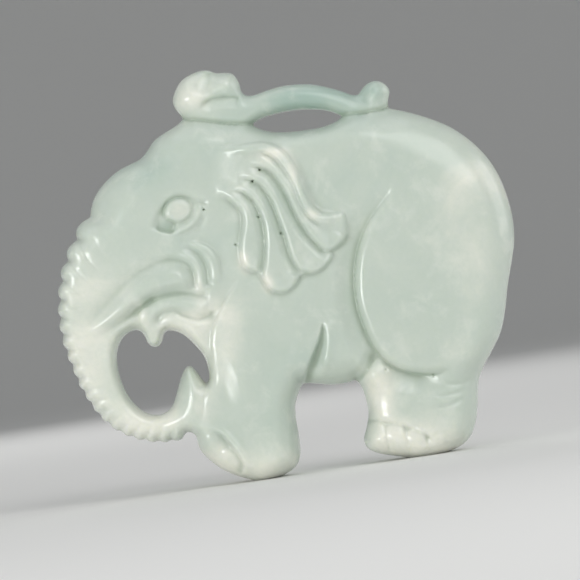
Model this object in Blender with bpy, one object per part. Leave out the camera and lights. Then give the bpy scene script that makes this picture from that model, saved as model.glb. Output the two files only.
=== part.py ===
"""Jade carving of a walking elephant with a ruyi sceptre on its back.

One pebble of jade, carved alike on both faces and standing on its two soles.
Frame: +Z up, head towards -X, carved faces towards -Y and +Y, origin under the
middle of the carving at the height of the soles. Outlines below are drawn in
millimetres on the XZ plane, which is the plane of symmetry.
"""

import math

import bmesh
import bpy

MM = 0.001

# Driving dimensions, in millimetres. Each depth is half of a mass's thickness.
DEPTH = {
    "head": 4.8,
    "torso": 5.3,
    "haunch": 6.5,
    "foreleg": 5.8,
    "foot": 5.3,
    "trunk": 3.3,
    "jaw": 3.6,
    "lip": 4.3,
    "tusk": 5.4,
    "cheek": 5.3,
    "ear": 5.9,
    "sceptre": 2.8,
}
EDGE = {
    "head": 2.8,
    "torso": 3.4,
    "haunch": 3.0,
    "foreleg": 2.4,
    "foot": 2.2,
    "trunk": 1.8,
    "jaw": 0.7,
    "lip": 0.8,
    "tusk": 1.0,
    "cheek": 0.5,
    "ear": 0.7,
    "sceptre": 1.3,
}
PLEAT_RISE = 0.3  # each ear pleat over the one in front of it
FOLD_STEP = 0.2  # the inner cheek fold under the outer one
EYE = ((-12.5, 36.2), 1.9, 1.5, 5.8)  # centre, half-width, half-height, depth
FRONT_NAILS = [((-12.6, 3.6), 1.5, 1.3, 5.9), ((-10.4, 2.1), 1.2, 1.2, 6.2)]
HIND_NAIL = (0.95, 1.1, 5.7)
HIND_NAIL_CENTRES = [(8.2, 2.5), (10.4, 2.1), (12.7, 1.7), (14.7, 1.5)]

# The beads along the trunk's outer edge, from the brow down to the tip.
BEADS = 17
BEAD_STEPS = 6
FIRST_BEAD_HEIGHT = 0.95
LAST_BEAD_HEIGHT = 0.5

# How fine the shapes are drawn, and how the fused stone is smoothed and thinned.
POINT_SPACING = 0.7
EDGE_STEPS = 3
DOME_STEPS = 12
VOXEL = 0.34
SMOOTH_PASSES = 3
KEPT_SHARE = 0.052

# The feet are drawn this much too low, and a block under the ground cuts them flat.
SOLE_ALLOWANCE = 0.5
GROUND_BLOCK = (80.0, 30.0, 6.0)

JADE = (0.60, 0.70, 0.61, 1.0)
JADE_ROUGHNESS = 0.22


# ---------------------------------------------------------------- outlines


def catmull_rom(points, closed=False, spacing=POINT_SPACING):
    """Points along the smooth curve that passes through the given ones."""
    count = len(points)
    spans = count if closed else count - 1
    curve = []
    for i in range(spans):
        if closed:
            a, b, c, d = (points[(i + k) % count] for k in (-1, 0, 1, 2))
        else:
            a, b, c, d = (points[min(max(i + k, 0), count - 1)] for k in (-1, 0, 1, 2))
        steps = max(1, round(math.dist(b, c) / spacing))
        for step in range(steps):
            t = step / steps
            curve.append(
                tuple(
                    0.5
                    * (
                        2 * q
                        + (r - p) * t
                        + (2 * p - 5 * q + 4 * r - s) * t**2
                        + (3 * q - p - 3 * r + s) * t**3
                    )
                    for p, q, r, s in zip(a, b, c, d)
                )
            )
    if not closed:
        curve.append(points[-1])
    return curve


def runs(*parts):
    """One closed outline from smooth runs that meet at corners."""
    outline = []
    for part in parts:
        outline += catmull_rom(part)[:-1]
    return outline


def even_points(line, count):
    """Points that divide a polyline into equal lengths, with both ends."""
    lengths = [0.0]
    for a, b in zip(line, line[1:]):
        lengths.append(lengths[-1] + math.dist(a, b))
    points = []
    k = 0
    for i in range(count):
        target = lengths[-1] * i / (count - 1)
        while k < len(line) - 2 and lengths[k + 1] < target:
            k += 1
        t = (target - lengths[k]) / (lengths[k + 1] - lengths[k])
        points.append(tuple(p + (q - p) * t for p, q in zip(line[k], line[k + 1])))
    return points


def beaded(line):
    """The trunk's outer edge: a smooth line with one round bead between each two notches."""
    points = even_points(line, BEADS * BEAD_STEPS + 1)
    edge = []
    for i, (x, z) in enumerate(points):
        a, b = points[max(i - 1, 0)], points[min(i + 1, len(points) - 1)]
        length = math.dist(a, b)
        out = ((b[1] - a[1]) / length, -(b[0] - a[0]) / length)
        along = i / (len(points) - 1)
        height = FIRST_BEAD_HEIGHT + (LAST_BEAD_HEIGHT - FIRST_BEAD_HEIGHT) * along
        bump = height * math.sin(math.pi * (i % BEAD_STEPS) / BEAD_STEPS) ** 0.7
        edge.append((x + out[0] * bump, z + out[1] * bump))
    return edge


# ---------------------------------------------------------------- masses


def slab(outline, depth, edge):
    """A flat mass with rounded edges, as a mesh: the outline filled to +-depth."""
    curve = bpy.data.curves.new("mass", "CURVE")
    curve.dimensions = "2D"
    curve.fill_mode = "BOTH"
    curve.extrude = (depth - edge) * MM
    curve.bevel_depth = edge * MM
    curve.bevel_resolution = EDGE_STEPS
    curve.offset = -edge * MM
    spline = curve.splines.new("POLY")
    spline.points.add(len(outline) - 1)
    for point, (x, z) in zip(spline.points, outline):
        point.co = (x * MM, z * MM, 0.0, 1.0)
    spline.use_cyclic_u = True
    holder = bpy.data.objects.new("mass", curve)
    bpy.context.collection.objects.link(holder)
    bpy.context.view_layer.update()
    mesh = bpy.data.meshes.new_from_object(holder)
    bpy.data.objects.remove(holder)
    bpy.data.curves.remove(curve)
    return mesh


def dome(centre, across, up, depth, turn=0.0):
    """A smooth ellipsoid through both faces, as a mesh."""
    mesh = bpy.data.meshes.new("mass")
    bm = bmesh.new()
    bmesh.ops.create_uvsphere(bm, u_segments=2 * DOME_STEPS, v_segments=DOME_STEPS, radius=1.0)
    c, s = math.cos(math.radians(turn)), math.sin(math.radians(turn))
    for vertex in bm.verts:
        x, z, y = vertex.co
        x, z = x * across, z * up
        vertex.co = (
            (centre[0] + x * c - z * s) * MM,
            (centre[1] + x * s + z * c) * MM,
            y * depth * MM,
        )
    bm.to_mesh(mesh)
    bm.free()
    return mesh


def torso():
    outline = catmull_rom(
        [
            (-8.0, 44.5), (-1.2, 45.2), (1.9, 44.3), (5.5, 44.1), (9.1, 44.5),
            (13.0, 45.1), (16.6, 45.1), (21.0, 43.0), (24.5, 39.5), (27.0, 34.0),
            (27.5, 28.0), (26.0, 20.0), (22.0, 13.5), (13.0, 12.5), (7.0, 11.2),
            (3.9, 10.8), (0.5, 11.4), (-2.0, 13.0), (-5.0, 22.0), (-8.0, 34.0),
        ],
        closed=True,
    )
    return slab(outline, DEPTH["torso"], EDGE["torso"])


def haunch():
    outline = catmull_rom(
        [
            (15.5, 40.0), (19.6, 43.9), (23.9, 41.7), (27.4, 38.2), (29.3, 34.0),
            (30.2, 28.6), (29.2, 23.4), (27.5, 17.2), (25.0, 12.1), (20.5, 10.2),
            (16.0, 10.4), (12.3, 11.9), (10.0, 14.4), (8.7, 19.1), (8.6, 23.9),
            (10.0, 28.9), (12.6, 32.6),
        ],
        closed=True,
    )
    return slab(outline, DEPTH["haunch"], EDGE["haunch"])


def hind_leg():
    outline = catmull_rom(
        [
            (9.6, 14.3), (8.0, 11.0), (7.9, 7.0), (6.8, 3.2), (7.5, 1.6),
            (10.6, 0.3), (13.8, -SOLE_ALLOWANCE), (16.4, -SOLE_ALLOWANCE), (19.1, 0.2),
            (21.3, 2.2), (22.1, 5.5), (22.9, 8.9), (25.6, 13.2), (20.0, 18.0), (13.0, 18.0),
        ],
        closed=True,
    )
    return slab(outline, DEPTH["foot"], EDGE["foot"])


def foreleg():
    outline = catmull_rom(
        [
            (-6.0, 27.5), (-9.0, 22.6), (-11.5, 17.0), (-12.6, 13.4), (-13.2, 9.6),
            (-14.6, 6.6), (-13.9, 4.3), (-11.6, 1.7), (-9.1, 0.3), (-7.0, -SOLE_ALLOWANCE),
            (-4.8, -SOLE_ALLOWANCE), (-2.4, 0.9), (-1.4, 3.2), (-1.4, 8.0), (0.2, 12.2),
            (2.9, 17.0), (3.5, 21.5), (2.0, 26.5), (-2.0, 29.0),
        ],
        closed=True,
    )
    return slab(outline, DEPTH["foreleg"], EDGE["foreleg"])


def head():
    outline = runs(
        [
            (-24.1, 36.9), (-23.1, 39.6), (-19.4, 42.5), (-16.4, 43.5), (-14.4, 45.7),
            (-10.2, 47.6),
        ],
        [(-10.2, 47.6), (-5.6, 46.3), (-1.7, 45.5)],
        [
            (-1.7, 45.5), (3.0, 40.0), (2.0, 30.0), (-4.0, 25.0), (-9.2, 21.5),
            (-12.5, 21.5), (-17.0, 23.5), (-22.6, 22.0), (-25.6, 26.5), (-25.6, 32.0),
            (-24.1, 36.9),
        ],
    )
    return slab(outline, DEPTH["head"], EDGE["head"])


def trunk():
    outer_edge = catmull_rom(
        [
            (-24.1, 36.9), (-27.5, 32.1), (-29.3, 26.8), (-29.6, 22.1), (-28.4, 15.7),
            (-25.5, 10.3), (-20.5, 7.2), (-16.2, 6.7),
        ],
    )
    hook = catmull_rom([(-16.2, 6.7), (-13.4, 8.2), (-12.6, 11.4), (-13.1, 14.8), (-14.1, 16.0)])
    curl = catmull_rom(
        [
            (-14.1, 16.0), (-15.4, 14.8), (-16.9, 11.4), (-19.3, 10.3), (-22.3, 12.6),
            (-23.3, 17.5), (-22.4, 20.6), (-18.5, 25.0), (-17.0, 32.0), (-24.1, 36.9),
        ]
    )
    outline = beaded(outer_edge)[:-1] + hook[:-1] + curl[:-1]
    return slab(outline, DEPTH["trunk"], EDGE["trunk"])


def jaw():
    outline = catmull_rom(
        [
            (-23.6, 19.0), (-22.3, 20.6), (-20.5, 21.6), (-19.5, 21.0), (-18.8, 19.4),
            (-17.6, 19.2), (-16.5, 20.6), (-15.0, 20.3), (-12.9, 18.0), (-11.0, 17.0),
            (-8.0, 20.0), (-8.0, 25.0), (-14.0, 27.0), (-22.0, 26.0), (-26.0, 21.5),
        ],
        closed=True,
    )
    return slab(outline, DEPTH["jaw"], EDGE["jaw"])


def lower_lip():
    outline = catmull_rom(
        [
            (-19.2, 23.9), (-18.9, 21.8), (-17.2, 21.3), (-14.0, 20.9), (-11.5, 19.4),
            (-9.4, 21.2), (-9.0, 23.6), (-11.5, 24.3), (-14.5, 25.0), (-17.5, 24.9),
        ],
        closed=True,
    )
    return slab(outline, DEPTH["lip"], EDGE["lip"])


def tusk():
    outline = catmull_rom(
        [
            (-15.4, 29.4), (-13.4, 29.5), (-12.0, 27.8), (-12.4, 25.6), (-14.5, 25.2),
            (-17.0, 25.0), (-19.5, 24.0), (-22.3, 22.6), (-25.1, 21.5), (-28.9, 21.6),
            (-24.8, 23.6), (-20.4, 26.9), (-18.2, 28.4),
        ],
        closed=True,
    )
    return slab(outline, DEPTH["tusk"], EDGE["tusk"])


def cheek_folds():
    inner = [(-12.6, 30.7), (-10.9, 30.2), (-9.9, 28.2), (-10.2, 26.0), (-11.6, 25.0), (-12.6, 27.6)]
    outer = [(-12.2, 31.9), (-9.8, 31.4), (-8.2, 29.3), (-8.2, 26.4), (-10.4, 24.8), (-11.6, 28.0)]
    meshes = []
    for level, outline in enumerate((outer, inner)):
        depth = DEPTH["cheek"] - FOLD_STEP * level
        meshes.append(slab(catmull_rom(outline, closed=True), depth, EDGE["cheek"]))
    return meshes


def ear_pleats():
    """Four pleats like shingles, each lying over the one in front of it."""
    outlines = [
        [
            (-8.6, 37.6), (-5.8, 36.3), (-4.5, 34.3), (-5.2, 31.4), (-5.3, 28.2),
            (-4.3, 26.7), (-3.0, 25.8), (-1.6, 27.0), (-1.0, 32.0), (-2.6, 36.4), (-5.8, 38.6),
        ],
        [
            (-6.4, 38.0), (-3.4, 36.3), (-2.3, 34.1), (-2.0, 30.0), (-3.2, 25.8),
            (-1.5, 23.6), (1.2, 24.3), (2.2, 26.5), (1.4, 33.0), (-1.2, 38.0), (-4.4, 39.8),
        ],
        [
            (-5.4, 39.8), (-1.9, 37.8), (0.1, 32.8), (1.3, 27.3), (3.4, 25.5),
            (5.6, 26.4), (6.4, 27.8), (4.0, 32.0), (1.6, 38.0), (-2.2, 41.4),
        ],
        [
            (-7.0, 43.6), (-5.2, 41.2), (-0.7, 39.6), (1.8, 34.8), (3.4, 30.6),
            (6.0, 28.0), (8.2, 29.2), (8.3, 33.0), (5.2, 33.2), (3.6, 36.4),
            (2.6, 40.7), (-1.1, 43.3),
        ],
    ]
    meshes = []
    for level, outline in enumerate(outlines):
        depth = DEPTH["ear"] + PLEAT_RISE * level
        meshes.append(slab(catmull_rom(outline, closed=True), depth, EDGE["ear"]))
    return meshes


def sceptre():
    """The ruyi: a cloud head in front, an arched handle and a round end knob."""
    head_and_handle = runs(
        [(-1.6, 45.8), (-6.0, 46.0), (-10.2, 47.8)],
        [
            (-10.2, 47.8), (-11.3, 50.1), (-10.2, 52.5), (-7.2, 53.8), (-4.8, 53.0),
            (-3.2, 52.9), (-2.3, 51.5), (-2.1, 49.8),
        ],
        [(-2.1, 49.8), (0.5, 49.8), (3.5, 50.2), (8.0, 49.5), (12.6, 47.6)],
        [(12.6, 47.6), (13.6, 48.6), (15.2, 49.2), (16.8, 47.9), (16.3, 45.3)],
        [(16.3, 45.3), (13.5, 44.0), (10.3, 45.1)],
        [(10.3, 45.1), (6.2, 46.6), (1.0, 46.5), (-1.6, 45.8)],
    )
    return slab(head_and_handle, DEPTH["sceptre"], EDGE["sceptre"])


def toes():
    """The nails stand a little proud of each foot."""
    front = [dome(*nail) for nail in FRONT_NAILS]
    hind = [dome(centre, *HIND_NAIL) for centre in HIND_NAIL_CENTRES]
    return front + hind


def eye():
    return dome(*EYE, turn=15.0)


# ---------------------------------------------------------------- carving


def joined(meshes, name):
    """All masses in one mesh, still overlapping."""
    bm = bmesh.new()
    for mesh in meshes:
        bm.from_mesh(mesh)
        bpy.data.meshes.remove(mesh)
    mesh = bpy.data.meshes.new(name)
    bm.to_mesh(mesh)
    bm.free()
    return mesh


def stand_up(mesh):
    """Turns outlines drawn on the XY plane upright, on the XZ plane."""
    for vertex in mesh.vertices:
        x, z, y = vertex.co
        vertex.co = (x, -y, z)


def ground_block():
    """The cutter under the soles."""
    bm = bmesh.new()
    bmesh.ops.create_cube(bm, size=1.0)
    for vertex in bm.verts:
        vertex.co.z -= 0.5
        vertex.co = [c * size * MM for c, size in zip(vertex.co, GROUND_BLOCK)]
    mesh = bpy.data.meshes.new("ground_block")
    bm.to_mesh(mesh)
    bm.free()
    block = bpy.data.objects.new("ground_block", mesh)
    bpy.context.collection.objects.link(block)
    block.hide_render = True
    block.display_type = "WIRE"
    return block


def jade():
    material = bpy.data.materials.new("jade")
    material.use_nodes = True
    shader = material.node_tree.nodes["Principled BSDF"]
    shader.inputs["Base Color"].default_value = JADE
    shader.inputs["Roughness"].default_value = JADE_ROUGHNESS
    shader.inputs["Metallic"].default_value = 0.0
    return material


def elephant():
    masses = [torso(), haunch(), hind_leg(), foreleg(), head(), trunk(), jaw()]
    masses += [lower_lip(), tusk(), sceptre(), eye()]
    masses += cheek_folds() + ear_pleats() + toes()
    mesh = joined(masses, "elephant_carving")
    stand_up(mesh)
    mesh.materials.append(jade())
    carving = bpy.data.objects.new("elephant_carving", mesh)
    bpy.context.collection.objects.link(carving)

    fuse = carving.modifiers.new("fuse", "REMESH")
    fuse.mode = "VOXEL"
    fuse.voxel_size = VOXEL * MM
    fuse.use_smooth_shade = True
    polish = carving.modifiers.new("polish", "SMOOTH")
    polish.iterations = SMOOTH_PASSES
    polish.factor = 0.5
    thin = carving.modifiers.new("thin", "DECIMATE")
    thin.ratio = KEPT_SHARE
    soles = carving.modifiers.new("soles", "BOOLEAN")
    soles.operation = "DIFFERENCE"
    soles.object = ground_block()
    return carving


def main():
    for thing in list(bpy.data.objects):
        bpy.data.objects.remove(thing)
    elephant()


main()
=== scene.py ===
"""The looks of the jade elephant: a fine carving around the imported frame, and a small studio."""

import math

import bmesh
import bpy
import numpy as np
from mathutils import Matrix, Vector


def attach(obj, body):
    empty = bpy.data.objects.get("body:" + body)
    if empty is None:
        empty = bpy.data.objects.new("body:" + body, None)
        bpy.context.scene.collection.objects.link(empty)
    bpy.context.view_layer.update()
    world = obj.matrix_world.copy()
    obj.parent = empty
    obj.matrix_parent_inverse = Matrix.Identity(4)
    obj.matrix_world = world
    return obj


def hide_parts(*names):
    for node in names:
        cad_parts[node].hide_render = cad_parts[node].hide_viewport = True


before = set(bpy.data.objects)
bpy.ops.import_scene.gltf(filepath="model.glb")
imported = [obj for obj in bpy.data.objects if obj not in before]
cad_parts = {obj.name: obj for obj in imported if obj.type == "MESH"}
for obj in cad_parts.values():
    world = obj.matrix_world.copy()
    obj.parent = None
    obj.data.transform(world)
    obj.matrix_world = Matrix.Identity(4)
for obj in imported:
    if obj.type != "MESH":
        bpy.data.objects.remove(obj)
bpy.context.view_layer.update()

MM = 0.001

# ------------------------------------------------------------------ the grid
# The relief is worked out in millimetres on the XZ plane, as the height of one face over y = 0.

GRID = 0.15  # spacing of the grid
X_RANGE = (-32.0, 32.0)
Z_RANGE = (-1.5, 55.5)


def grid_line(low, high):
    """Evenly spaced places from low to high, both included."""
    return np.arange(low, high + GRID / 2, GRID)


XS = grid_line(*X_RANGE)
ZS = grid_line(*Z_RANGE)
X, Z = np.meshgrid(XS, ZS, indexing="ij")


# ------------------------------------------------------- curves and profiles


def smooth(points, closed=False, spacing=0.3):
    """Points along the smooth curve that passes through the given ones."""
    knots = np.asarray(points, float)
    count = len(knots)
    curve = []
    for i in range(count if closed else count - 1):
        if closed:
            a, b, c, d = (knots[(i + k) % count] for k in (-1, 0, 1, 2))
        else:
            a, b, c, d = (knots[min(max(i + k, 0), count - 1)] for k in (-1, 0, 1, 2))
        steps = max(1, round(float(np.hypot(*(c - b))) / spacing))
        t = (np.arange(steps) / steps)[:, None]
        curve.append(
            0.5
            * (
                2 * b
                + (c - a) * t
                + (2 * a - 5 * b + 4 * c - d) * t**2
                + (3 * b - a - 3 * c + d) * t**3
            )
        )
    if not closed:
        curve.append(knots[-1:])
    return np.concatenate(curve)


def runs(*parts):
    """A closed outline from smooth runs that meet at corners."""
    return np.concatenate([smooth(part)[:-1] for part in parts])


def near(line, reach, closed=False):
    """For each grid point: distance to the line, length along it there, and side (+1 left).

    The line's whole length comes last. Points further off than reach keep reach as distance.
    """
    distance = np.full(X.shape, float(reach))
    along = np.zeros(X.shape)
    side = np.ones(X.shape)
    ends = np.roll(line, -1, axis=0) if closed else line[1:]
    run = 0.0
    for a, b in zip(line, ends):
        edge = b - a
        length = float(np.hypot(*edge))
        if length < 1e-9:
            continue
        low = np.minimum(a, b) - reach
        high = np.maximum(a, b) + reach
        i0, i1 = np.searchsorted(XS, (low[0], high[0]))
        j0, j1 = np.searchsorted(ZS, (low[1], high[1]))
        if i0 >= i1 or j0 >= j1:
            run += length
            continue
        window = (slice(i0, i1), slice(j0, j1))
        dx, dz = X[window] - a[0], Z[window] - a[1]
        t = np.clip((dx * edge[0] + dz * edge[1]) / length**2, 0.0, 1.0)
        d = np.hypot(dx - t * edge[0], dz - t * edge[1])
        closer = d < distance[window] - 1e-9
        distance[window] = np.where(closer, d, distance[window])
        along[window] = np.where(closer, run + t * length, along[window])
        turn = edge[0] * dz - edge[1] * dx
        side[window] = np.where(closer, np.where(turn >= 0, 1.0, -1.0), side[window])
        run += length
    return distance, along, side, run


def inside(outline):
    """True at the grid points inside a closed outline."""
    a = outline
    b = np.roll(outline, -1, axis=0)
    mask = np.zeros(X.shape, bool)
    for j, z in enumerate(ZS):
        cut = (a[:, 1] > z) != (b[:, 1] > z)
        if not cut.any():
            continue
        p, q = a[cut], b[cut]
        xs = np.sort(p[:, 0] + (z - p[:, 1]) * (q[:, 0] - p[:, 0]) / (q[:, 1] - p[:, 1]))
        mask[:, j] = np.searchsorted(xs, XS) % 2 == 1
    return mask


def depth_in(outline, reach):
    """Distance in from a closed outline, negative outside it, and no further than reach."""
    distance = near(outline, reach, closed=True)[0]
    return np.where(inside(outline), distance, -distance)


def ease(t):
    """From 0 to 1 with no corner at either end."""
    t = np.clip(t, 0.0, 1.0)
    return t * t * (3 - 2 * t)


def ramp(value, low, high):
    """From 0 at low to 1 at high, eased at both ends."""
    return ease((value - low) / (high - low))


def round_over(d, radius):
    """A quarter-round profile: 0 at the edge, 1 from radius inwards."""
    t = np.clip(d / radius, 0.0, 1.0)
    return np.sqrt(np.maximum(2 * t - t * t, 0.0))


def turned(x, z, across, up, turn):
    """Places measured from (x, z) in half-widths, on axes turned by so many degrees."""
    c = math.cos(math.radians(turn))
    s = math.sin(math.radians(turn))
    u = ((X - x) * c + (Z - z) * s) / across
    v = (-(X - x) * s + (Z - z) * c) / up
    return u, v


def dimple(x, z, across, up, turn=0.0):
    """A smooth bump of height 1, which is down to 0.3 at the given half-widths."""
    u, v = turned(x, z, across, up, turn)
    return np.exp(-1.2 * (u * u + v * v))


def oval(x, z, across, up, turn):
    """1 at the centre of an ellipse, 0 on its rim, negative outside."""
    u, v = turned(x, z, across, up, turn)
    return 1.0 - np.hypot(u, v)


def block(x, z, across, up, turn):
    """The same for a square with rounded corners."""
    u, v = turned(x, z, across, up, turn)
    return 1.0 - (u**4 + v**4) ** 0.25


def taper(along, total, start, end):
    """Fades a cut in over its first and out over its last millimetres."""
    return ease(along / start) * ease((total - along) / end)


def groove(height, points, width, depth, start, end, flat=1.5):
    """Cuts a soft V along a line, or with a larger flat a trough with a broader floor."""
    line = smooth(points)
    d, along, _, total = near(line, width * 2)
    profile = np.exp(-((d / (0.5 * width)) ** flat))
    return height - depth * profile * taper(along, total, start, end)


def ridge(height, points, width, rise, start, end, flat=2.0):
    """Raises a soft ridge along a line: a groove the other way up."""
    return groove(height, points, width, -rise, start, end, flat)


def blur(field, width):
    """Takes the sharpness off a field, as polishing does: a Gaussian of this width, in mm."""
    reach = max(1, round(3 * width / GRID))
    weights = np.exp(-0.5 * (np.arange(-reach, reach + 1) * GRID / width) ** 2)
    weights /= weights.sum()
    for axis in (0, 1):
        margin = [(reach, reach) if axis == n else (0, 0) for n in (0, 1)]
        padded = np.pad(field, margin, mode="edge")
        count = field.shape[axis]
        field = sum(w * padded.take(range(k, k + count), axis) for k, w in enumerate(weights))
    return field


# ---------------------------------------------------------------- outlines
# Millimetres on the XZ plane. Runs meet at the outline's corners.

BEADS = 19  # rings along the trunk's outer edge
TRUNK_EDGE = [
    (-24.1, 36.9), (-25.9, 34.5), (-27.5, 32.0), (-28.6, 29.5), (-29.3, 26.8), (-29.6, 24.4),
    (-29.6, 22.0), (-29.3, 19.8), (-28.8, 17.6), (-28.3, 15.6), (-27.5, 13.6), (-26.5, 11.6),
    (-25.3, 10.0), (-23.9, 8.8), (-22.3, 7.9), (-20.4, 7.2), (-18.4, 6.9), (-16.3, 6.9),
]


def arc_lengths(line):
    """How far along the line each of its points is."""
    return np.concatenate([[0.0], np.cumsum(np.hypot(*np.diff(line, axis=0).T))])


def bead_notches():
    """Where the notches between the beads lie along the trunk's edge, from 0 to 1."""
    k = np.arange(BEADS)
    spacing = 1.6 + 1.6 * np.exp(-k / 4.5)
    return np.concatenate([[0.0], np.cumsum(spacing)]) / spacing.sum()


def beaded_edge():
    """The trunk's outer edge with a bead raised between each pair of notches."""
    line = smooth(TRUNK_EDGE, spacing=0.1)
    lengths = arc_lengths(line)
    total = lengths[-1]
    tangent = np.gradient(line, axis=0)
    tangent /= np.hypot(*tangent.T)[:, None]
    outward = np.stack([tangent[:, 1], -tangent[:, 0]], axis=1)
    notches = bead_notches() * total
    bead = np.clip(np.searchsorted(notches, lengths, side="right") - 1, 0, BEADS - 1)
    u = np.clip((lengths - notches[bead]) / (notches[bead + 1] - notches[bead]), 0, 1)
    height = 0.34 + 0.5 * np.exp(-bead / 5.0)
    bump = height * np.sin(np.pi * u**1.35) ** 0.62
    return line + outward * bump[:, None]


def outer_outline():
    """The whole silhouette, from the beads round the feet, rump, sceptre and forehead."""
    rest = runs(
        [(-16.3, 6.9), (-15.9, 7.4), (-15.2, 7.4), (-14.7, 6.9)],
        [
            (-14.7, 6.9), (-14.4, 5.0), (-13.3, 3.4), (-11.6, 1.8), (-9.1, 0.45), (-7.0, -0.25),
            (-4.9, -0.1), (-3.2, 0.5), (-2.1, 1.3), (-1.5, 2.8), (-1.4, 5.0), (-1.45, 7.2),
            (-1.3, 8.8), (-0.8, 10.1), (-0.05, 11.4),
        ],
        [(-0.05, 11.4), (0.5, 11.5), (2.0, 11.2), (3.9, 10.8), (5.9, 10.8), (7.0, 11.0)],
        [
            (7.0, 11.0), (7.6, 9.9), (7.9, 8.0), (7.9, 6.2), (7.4, 4.6), (6.85, 3.2), (7.1, 2.1),
            (8.2, 1.25), (10.6, 0.45), (13.8, -0.25), (16.4, -0.2), (18.9, 0.4), (20.6, 1.5),
            (21.6, 3.4), (22.2, 5.6), (22.7, 8.4), (23.6, 10.2), (25.2, 12.4), (26.5, 14.4),
            (27.5, 17.2), (28.3, 20.3), (29.3, 23.4), (30.0, 26.0), (30.2, 28.8), (29.9, 31.8),
            (29.2, 34.6), (28.0, 37.2), (26.2, 39.6), (23.9, 41.7), (21.4, 43.2), (18.8, 44.4),
            (16.3, 45.3),
        ],
        [
            (16.3, 45.3), (16.4, 46.3), (16.8, 47.5), (16.3, 48.5), (15.2, 49.1), (14.1, 48.9),
            (13.2, 48.2), (12.6, 47.6), (11.7, 47.8), (10.2, 48.6), (8.0, 49.5), (6.1, 50.0),
            (3.5, 50.2), (1.2, 49.95), (-0.4, 49.6), (-1.6, 49.6), (-2.25, 50.2), (-2.4, 51.4),
            (-3.0, 52.6), (-4.0, 53.0), (-5.2, 53.1), (-6.3, 53.65), (-7.8, 53.6), (-9.6, 52.9),
            (-10.7, 51.7), (-11.3, 50.3), (-11.0, 49.1), (-10.2, 47.8),
        ],
        [
            (-10.2, 47.8), (-11.4, 47.05), (-12.9, 46.4), (-14.4, 45.6), (-15.4, 44.5),
            (-16.5, 43.5), (-18.0, 43.0), (-19.8, 42.3), (-21.7, 41.0), (-23.1, 39.5),
            (-23.8, 38.1), (-24.1, 36.9),
        ],
    )
    return np.concatenate([beaded_edge()[:-1], rest])


TRUNK_LOOP = [
    (-11.85, 14.2), (-12.25, 13.4), (-12.7, 13.9), (-13.4, 15.2), (-14.05, 16.0), (-14.7, 15.8),
    (-15.5, 14.6), (-16.2, 13.0), (-16.9, 11.5), (-17.8, 10.6), (-19.3, 10.3), (-20.9, 11.0),
    (-22.3, 12.7), (-23.1, 14.9), (-23.4, 17.3), (-23.1, 19.4), (-22.1, 20.9), (-20.8, 21.55),
    (-19.9, 21.4), (-19.4, 20.7), (-19.15, 19.85), (-18.7, 19.2), (-18.1, 19.0), (-17.5, 19.25),
    (-17.1, 19.85), (-16.85, 20.5), (-16.4, 20.85), (-15.7, 20.8), (-14.4, 20.1), (-13.2, 18.7),
    (-12.2, 17.1), (-11.9, 15.9),
]
CORD_SLOT = (
    [(-1.6, 45.7), (-0.6, 46.25), (1.0, 46.6), (3.6, 46.8), (6.2, 46.6), (8.4, 46.1), (10.3, 45.1)],
    [(10.3, 45.1), (9.0, 44.5), (7.2, 44.15), (4.5, 44.1), (1.9, 44.3), (0.0, 44.8), (-1.6, 45.7)],
)


# ------------------------------------------------------------------ relief
# Each function takes the half-thickness of the stone and carves one feature in it.

CREST_WIDTH = 0.45  # of the bead that may run along a lip


def lip(height, points, rise, rise_over, dip, dip_over, round_, start, end, bead=0.0):
    """An overlap: the left side of the line stands over its right side.

    The left side rises in a quarter-round to a crest and falls away over rise_over.
    The right side is cut down to the line over dip_over. A bead raises the crest itself.
    """
    line = smooth(points)
    d, along, side, total = near(line, max(rise_over + round_, dip_over) + 0.3)
    signed = d * side
    up = round_over(signed, round_)
    fall = 1.0 - ease((signed - round_) / rise_over)
    crest = bead * up * np.exp(-(((signed - 0.9 * round_) / CREST_WIDTH) ** 2))
    low = -dip * (1.0 - ease(-signed / dip_over))
    high = -dip * (1.0 - up) + rise * up * fall + crest
    change = np.where(signed > 0, high, low)
    return height + change * taper(along, total, start, end)


HEAD_HALF = 5.0  # half the thickness of the head, which the other masses start from


def body_levels():
    """The broad masses, before any line is carved."""
    shoulder = 0.5 * ramp(X, -8.0, 4.0)
    rump = 0.6 * ramp(X, 8.0, 20.0)
    lower_trunk = -1.5 * ramp(-Z, -31.0, -14.0) * ramp(-X, 12.0, 19.0)
    upper_trunk = -0.35 * ramp(-X, 18.0, 27.0) * ramp(Z, 22.0, 32.0)
    forehead = 0.25 * dimple(-18.0, 38.5, 6.0, 5.0)
    return HEAD_HALF + shoulder + rump + lower_trunk + upper_trunk + forehead


def haunch(height):
    """The thigh, a broad raised oval whose front edge stands over the belly."""
    edge = [
        (15.6, 36.2), (14.3, 34.0), (12.7, 32.3), (11.2, 30.5), (10.0, 28.5), (9.15, 26.2),
        (8.65, 23.6), (8.5, 21.2), (8.8, 18.7), (9.5, 15.9), (10.6, 13.6), (12.3, 11.9),
        (14.4, 10.9), (17.0, 10.4), (19.4, 10.7),
    ]
    height = lip(
        height, edge, rise=0.3, rise_over=7.0, dip=1.15, dip_over=3.4,
        round_=0.9, start=11.0, end=5.0,
    )
    return groove(height, edge, width=1.2, depth=0.2, start=6.0, end=2.0)


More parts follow.
